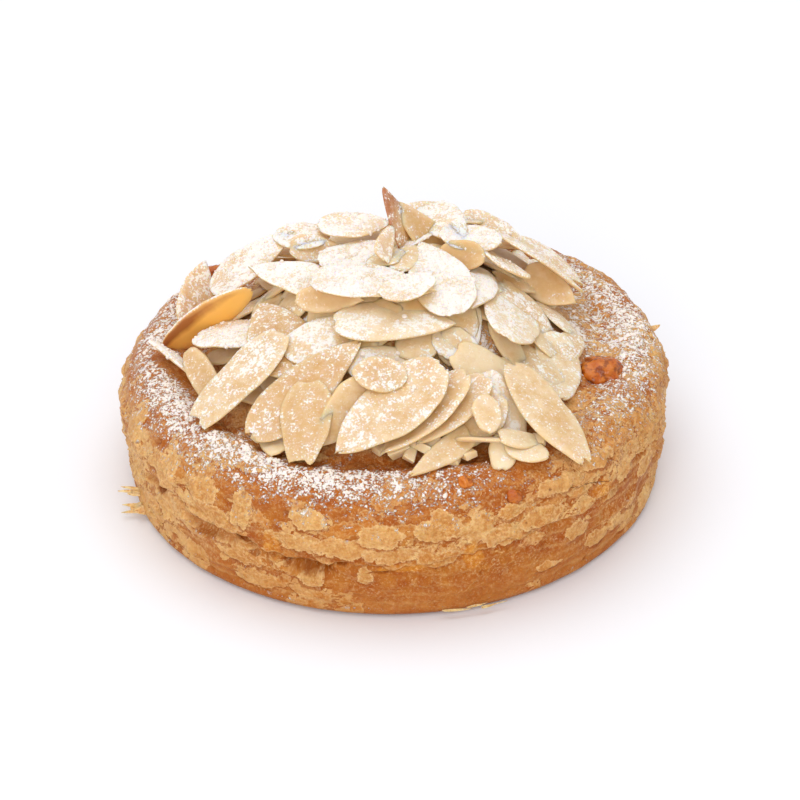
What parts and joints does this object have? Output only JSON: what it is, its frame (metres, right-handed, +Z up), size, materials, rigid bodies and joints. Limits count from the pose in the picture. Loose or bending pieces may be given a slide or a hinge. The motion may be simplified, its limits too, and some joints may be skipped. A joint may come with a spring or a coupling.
{
  "type": "almond croissant",
  "caption": "Round drum-shaped flaky pastry with a cracked side, a raised rim and a domed heap of toasted almond flakes dusted with sugar.",
  "frame": {"origin": "middle of the flat foot", "axes": "+Z up, +Y away from the side that the picture shows, +X to the picture's right"},
  "size_m": [0.1003, 0.1004, 0.0536],
  "materials": {
    "crust": "baked laminated crust, dry and flaky",
    "almond": "toasted almond slices, smooth",
    "sugar": "dry white sugar",
    "caramel": "glossy baked sugar"
  },
  "bodies": {
    "root": {"almond_croissant": "crust"}
  },
  "joints": []
}
